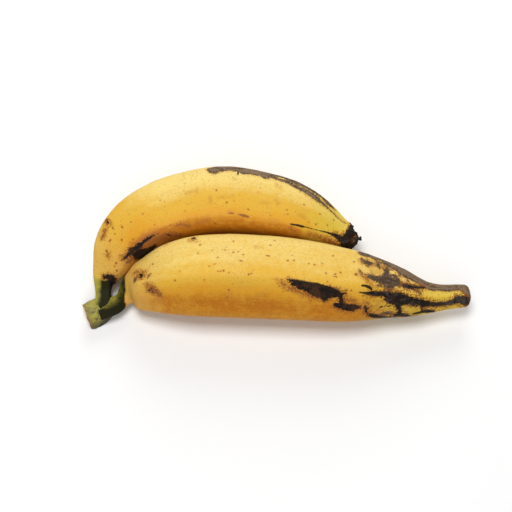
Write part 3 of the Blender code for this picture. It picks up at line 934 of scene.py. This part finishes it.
SHORTER_STAIN_AND_SHADE = [
    [(105, 229, 2.5), (102, 237, 2.5)],
    [(108, 254, 1.8), (109, 258, 1.5)],
    [(121, 258, 2), (130, 262, 2.5)],
    [(198, 224, 1.5), (208, 219, 1.5)],
    [(290, 228, 2), (296, 232, 2)],
    # Painted shade: this wide chain darkens the underside along the narrow gap between the two fruits.
    [(133, 257, 3.5), (141, 249, 5.5), (150, 245, 6.5), (160, 239, 5.5), (172, 236, 4.2), (180, 235, 2.5)],
    [(106, 222, 2), (110, 224, 1.5)],
    [(310, 234, 2), (324, 239, 3.5), (336, 244, 3)],
    [(178, 225, 2), (188, 226, 2.5)],
]
SHORTER_SMUDGE = [
    [(227.9, 212.2, 1.2), (235, 212.8, 1.3), (240, 213.5, 1)],
    [(210.5, 197, 1), (209.5, 202, 1.2)],
    [(197.1, 189, 1), (197.1, 192.5, 1)],
    [(262, 203, 1), (267, 202.8, 1)],
    [(276, 200, 1.2), (278, 203, 1.2)],
    [(276, 184.5, 1.2), (280.5, 188, 1.2)],
    [(219, 197.6, 0.6), (233, 197.6, 0.6)],
    [(270, 220, 1.2), (278, 221, 1.2)],
    [(300, 215, 2), (305, 218, 2)],
    [(150, 180, 1.2), (160, 175.5, 1)],
    [(186, 193, 1.5), (195, 191, 1.2)],
]
SHORTER_RUST = [
    [(354.5, 236.5, 1.2), (357, 236, 1)],
    [(352.5, 239.3, 0.8), (351.5, 240.5, 0.8)],
    [(352, 243, 1), (354.5, 241.5, 0.8)],
]
SHORTER_DOTS = [
    (216.4, 190.4, 0.7), (226.8, 202.6, 0.9), (248.2, 209.3, 0.7), (121.8, 239.9, 0.9),
    (116.3, 263.2, 0.9), (114.6, 266.1, 0.6), (116.7, 270.8, 0.7), (127.9, 253.9, 0.6),
    (133.2, 239.3, 0.6), (154.6, 224.3, 0.5), (296.3, 236.3, 0.5), (304, 204.7, 0.6), (234.3, 201.4, 0.4),
    (279.5, 228.5, 0.5), (270.5, 215.5, 0.4), (288, 214, 0.5), (287, 210, 0.4), (320, 214, 0.5),
    (327.5, 225.3, 0.5), (333.8, 220, 0.5), (343, 231, 0.5), (170, 225, 0.5), (185, 211, 0.4),
    (160, 200, 0.4), (143, 214, 0.5), (131, 222, 0.5), (258, 192, 0.4), (290.3, 229.1, 0.7),
    (215, 223.2, 0.7), (115, 233.9, 0.6),
]
SHORTER_HIDDEN_BLACK = [
    # Painted shadow: a black line under the shoulder where the stalk begins, and black painted shade low on
    # the flank below the crease.
    [(18.8, -30, 0.8), (19, -55, 1.2), (19.6, -85, 1)],
    [(41, -58, 2), (45.6, -64, 2.6), (50, -66, 2)],
]
SHORTER_HIDDEN_SCAR = [
    [
        (114, 50, 1), (119, 48, 2.6), (128, 50, 1.2), (138, 46, 2.6), (150, 52, 0.9), (164, 49, 2),
        (178, 53, 0.6),
    ],
]


def shorter_green(along, angles):
    """Greenish before the knob, and a little at the neck."""
    return ramp(along, 165, 25) * 0.9 + ramp(along, 30, -12) * 0.6


def shorter_shade(along, angles):
    """Painted shade: the stalk's lower side is painted dark."""
    return 0.6 - 1.2 * np.cos(angles - radians(110))


shorter = Surface(
    SHORTER_STATIONS,
    SHORTER_FACETS,
    SHORTER_ROWS,
    COLUMNS,
    SHORTER_TIP,
    SHORTER_BLUNTNESS,
    FLATTENING,
    SHORTER_ROUNDING,
)
shorter.look()
shorter_marks = {
    "black": shorter.traced(SHORTER_BLACK) + shorter.placed(SHORTER_HIDDEN_BLACK),
    "crisp": shorter.traced(SHORTER_CRISP),
    "brown": shorter.traced(SHORTER_BROWN),
    "scar": shorter.traced(SHORTER_SCAR) + shorter.placed(SHORTER_HIDDEN_SCAR),
    "stain_and_shade": shorter.traced(SHORTER_STAIN_AND_SHADE),
    "smudge": shorter.traced(SHORTER_SMUDGE),
    "rust": shorter.traced(SHORTER_RUST),
    "dots": shorter.traced([[dot] for dot in SHORTER_DOTS] + SHORTER_FLECKS),
}
shorter_fields = fruit_fields(
    shorter,
    shorter_marks,
    lean=radians(60),
    turned_share=0.7,
    tones=SHORTER_TONES,
    flecked_from=192.0,
    green=shorter_green,
    shaded=shorter_shade,
)

# The black of the knob begins KNOB_START mm along, earlier and later by KNOB_SLANT on its
# two sides.
KNOB_START = 201.3
KNOB_SLANT = 2.0
knob = shorter.at[:, None] - KNOB_START - KNOB_SLANT * np.cos(shorter.angles - radians(70))
knob = knob + 0.9 * ripples(shorter, 9, seed=22) + 0.4 * ripples(shorter, 3, seed=23)
shorter_fields["black"] = np.maximum(shorter_fields["black"], knob.clip(-MARK_REACH, MARK_REACH))

# Painted shade: the bend near the stalk turns away from the light, so its peel is painted
# darker amber there, most at the given length along and fading both ways.
SHADE_BEND = 52
SHADE_REACH = 18
SHADE_DEPTH = 0.45
from_bend = (shorter.at[:, None] - SHADE_BEND) / SHADE_REACH
shorter_fields["painted_light"] -= SHADE_DEPTH * np.exp(-(from_bend**2))
weather(shorter, shorter_fields, crumble=1.0, crumbling=9.0)
shorter_piece = closed_piece("shorter_fruit", shorter, shorter_fields)
shorter_piece.data.materials.append(peel_finish)
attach(shorter_piece, "root")
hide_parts(NODE)

# The nub: what is left of the flower, a dry black thread with a small head, standing
# out of the shorter fruit's knob.
NUB_STATIONS = [
    (64.5, 15.1, 16.0, 2.6),
    (66.6, 15.1, 16.6, 1.8),
    (68.0, 15.0, 17.2, 1.1),
    (68.8, 15.0, 16.9, 1.5),
    (69.7, 15.0, 17.0, 1.4),
]
NUB_FACETS = (0, 72, 144, 216, 288)
NUB_ROWS = 30
NUB_COLUMNS = 40
NUB_TIP = 0.7
NUB_FLATTENING = 1.0
nub = Surface(
    NUB_STATIONS, NUB_FACETS, NUB_ROWS, NUB_COLUMNS, NUB_TIP, BLUNT, NUB_FLATTENING, BODY_ROUNDING
)
nub.push(0.15 * ripples(nub, 1.4, seed=31))
nub_piece = closed_piece("flower_nub", nub, {})


def dry_flower():
    """Near-black dry matter with brown high spots."""
    dry = Recipe("dry_flower")
    grain = dry.noise(dry.place(), 1500.0, 5.0, 0.65)
    colour = dry.blend(dry.step(grain, 0.0, 1.4), BLACK, DARK_BROWN)
    normal = dry.bump(grain, 0.1, 0.0005)
    return dry.finish({"Base Color": colour, "Normal": normal}, {"Roughness": 0.75})


nub_piece.data.materials.append(dry_flower())
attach(nub_piece, "root")
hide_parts(NODE)

# The crown: the green pad that both stalks grow from, cut across with a knife, so that
# its end shows cream fibres in a brown rim.
CROWN_STATIONS = [
    (-93.0, -23.0, 2.5, 5.0),
    (-97.5, -26.4, 0.8, 7.6),
    (-102.5, -29.6, -0.2, 9.2),
    (-107.5, -32.4, -0.3, 9.4),
    (-112.0, -34.2, 0.2, 8.8),
]
CROWN_FACETS = (0, 75, 180, 285)
CROWN_FLATTENING = 0.72
CROWN_ROWS = 70
CROWN_COLUMNS = 120
CROWN_RADIUS = 9
CUT_LENGTH = 1.2
CROWN_BRUISE = (0.06, 0.035, 0.018)
CUT_EDGE = (0.24, 0.12, 0.035)
CUT_RIM = (0.20, 0.09, 0.03)
CUT_CREAM = (0.82, 0.66, 0.36)
CUT_FIBRE = (0.50, 0.26, 0.08)
crown = Surface(
    CROWN_STATIONS,
    CROWN_FACETS,
    CROWN_ROWS,
    CROWN_COLUMNS,
    CUT_LENGTH,
    BLUNT,
    CROWN_FLATTENING,
    BODY_ROUNDING,
)
along, angles = crown.grid()
crown.roughen(0.35 * ripples(crown, 9, seed=41) + 0.15 * ripples(crown, 3, seed=42) - 0.5)
crown_fields = {
    "cut": along - (crown.total - CUT_LENGTH),
    "inward": 1 - np.linalg.norm(crown.points - crown.centre[-1], axis=2) / crown.half_width[-1],
    "straight": straightened(along, angles, CROWN_RADIUS),
    # Painted shade: the crown's lower side is painted darker.
    "shaded": 0.5 - 0.5 * np.cos(angles),
}
crown_piece = closed_piece("crown", crown, crown_fields)


def crown_material():
    """Green fibrous skin painted darker underneath as shade, and on the cut cream fibres inside a brown
    rim.
    """
    pad = Recipe("cut_crown")
    place = pad.place()
    straight = pad.field_vector("straight")
    ragged = pad.noise(place, 700.0, 6.0, 0.65)
    fine = pad.noise(place, 2400.0, 4.0, 0.6)
    patches = pad.noise(place, 220.0, 4.0, 0.6)
    skin = stalk_colour(pad, straight)
    bruised = pad.step(patches * 0.7 + ragged * 0.4, -0.1, 0.7)
    skin = pad.blend(bruised * 0.8, skin, CROWN_BRUISE)
    browned = pad.step(pad.field("cut") + ragged * 0.7, -2.5, 0.2)
    skin = pad.blend(browned * 0.85, skin, CUT_EDGE)
    inner = pad.step(pad.field("inward") + ragged * 0.05, 0.10, 0.32)
    grain = pad.step(ragged * 0.6 + fine * 0.4, -0.4, 0.9)
    flesh = pad.blend(grain, CUT_CREAM, CUT_FIBRE)
    face = pad.blend(inner, CUT_RIM, flesh)
    colour = pad.blend(pad.step(pad.field("cut"), 0.05, 0.5), skin, face)
    normal = pad.bump(ragged * 0.12 + fine * 0.05, 0.5, 0.0007)
    return pad.finish({"Base Color": colour, "Normal": normal}, {"Roughness": 0.62})


crown_piece.data.materials.append(crown_material())
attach(crown_piece, "root")
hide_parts(NODE)

# The table: a plain pale floor, under soft lights above, in front of and behind the hand.
# Lengths here are in metres.
TABLE_SIZE = 3.0
TABLE_COLOUR = (0.86, 0.86, 0.86, 1)
LIGHT_TARGET = (0, 0, 0.02)
WORLD_COLOUR = (1, 1, 1, 1)
WORLD_STRENGTH = 0.15
bpy.ops.mesh.primitive_plane_add(size=TABLE_SIZE, location=(0, 0, 0))
table = bpy.context.object
table.name = "table"
pale = Recipe("pale_table")
table.data.materials.append(pale.finish({}, {"Base Color": TABLE_COLOUR, "Roughness": 0.9}))


def soft_light(name, location, size, power):
    """A square area light that faces the hand."""
    lamp = bpy.data.lights.new(name, "AREA")
    lamp.size = size
    lamp.energy = power
    light = bpy.data.objects.new(name, lamp)
    bpy.context.scene.collection.objects.link(light)
    light.location = location
    aim(light, LIGHT_TARGET)


soft_light("key", (-0.15, 0.02, 1.45), size=0.6, power=14.8)
soft_light("front", (-0.1, -1.1, 1.0), size=1.6, power=8.5)
soft_light("back", (0.1, 1.15, 0.75), size=0.8, power=8)
world = bpy.data.worlds.new("studio")
bpy.context.scene.world = world
world.use_nodes = True
background = world.node_tree.nodes["Background"].inputs
background["Color"].default_value = WORLD_COLOUR
background["Strength"].default_value = WORLD_STRENGTH
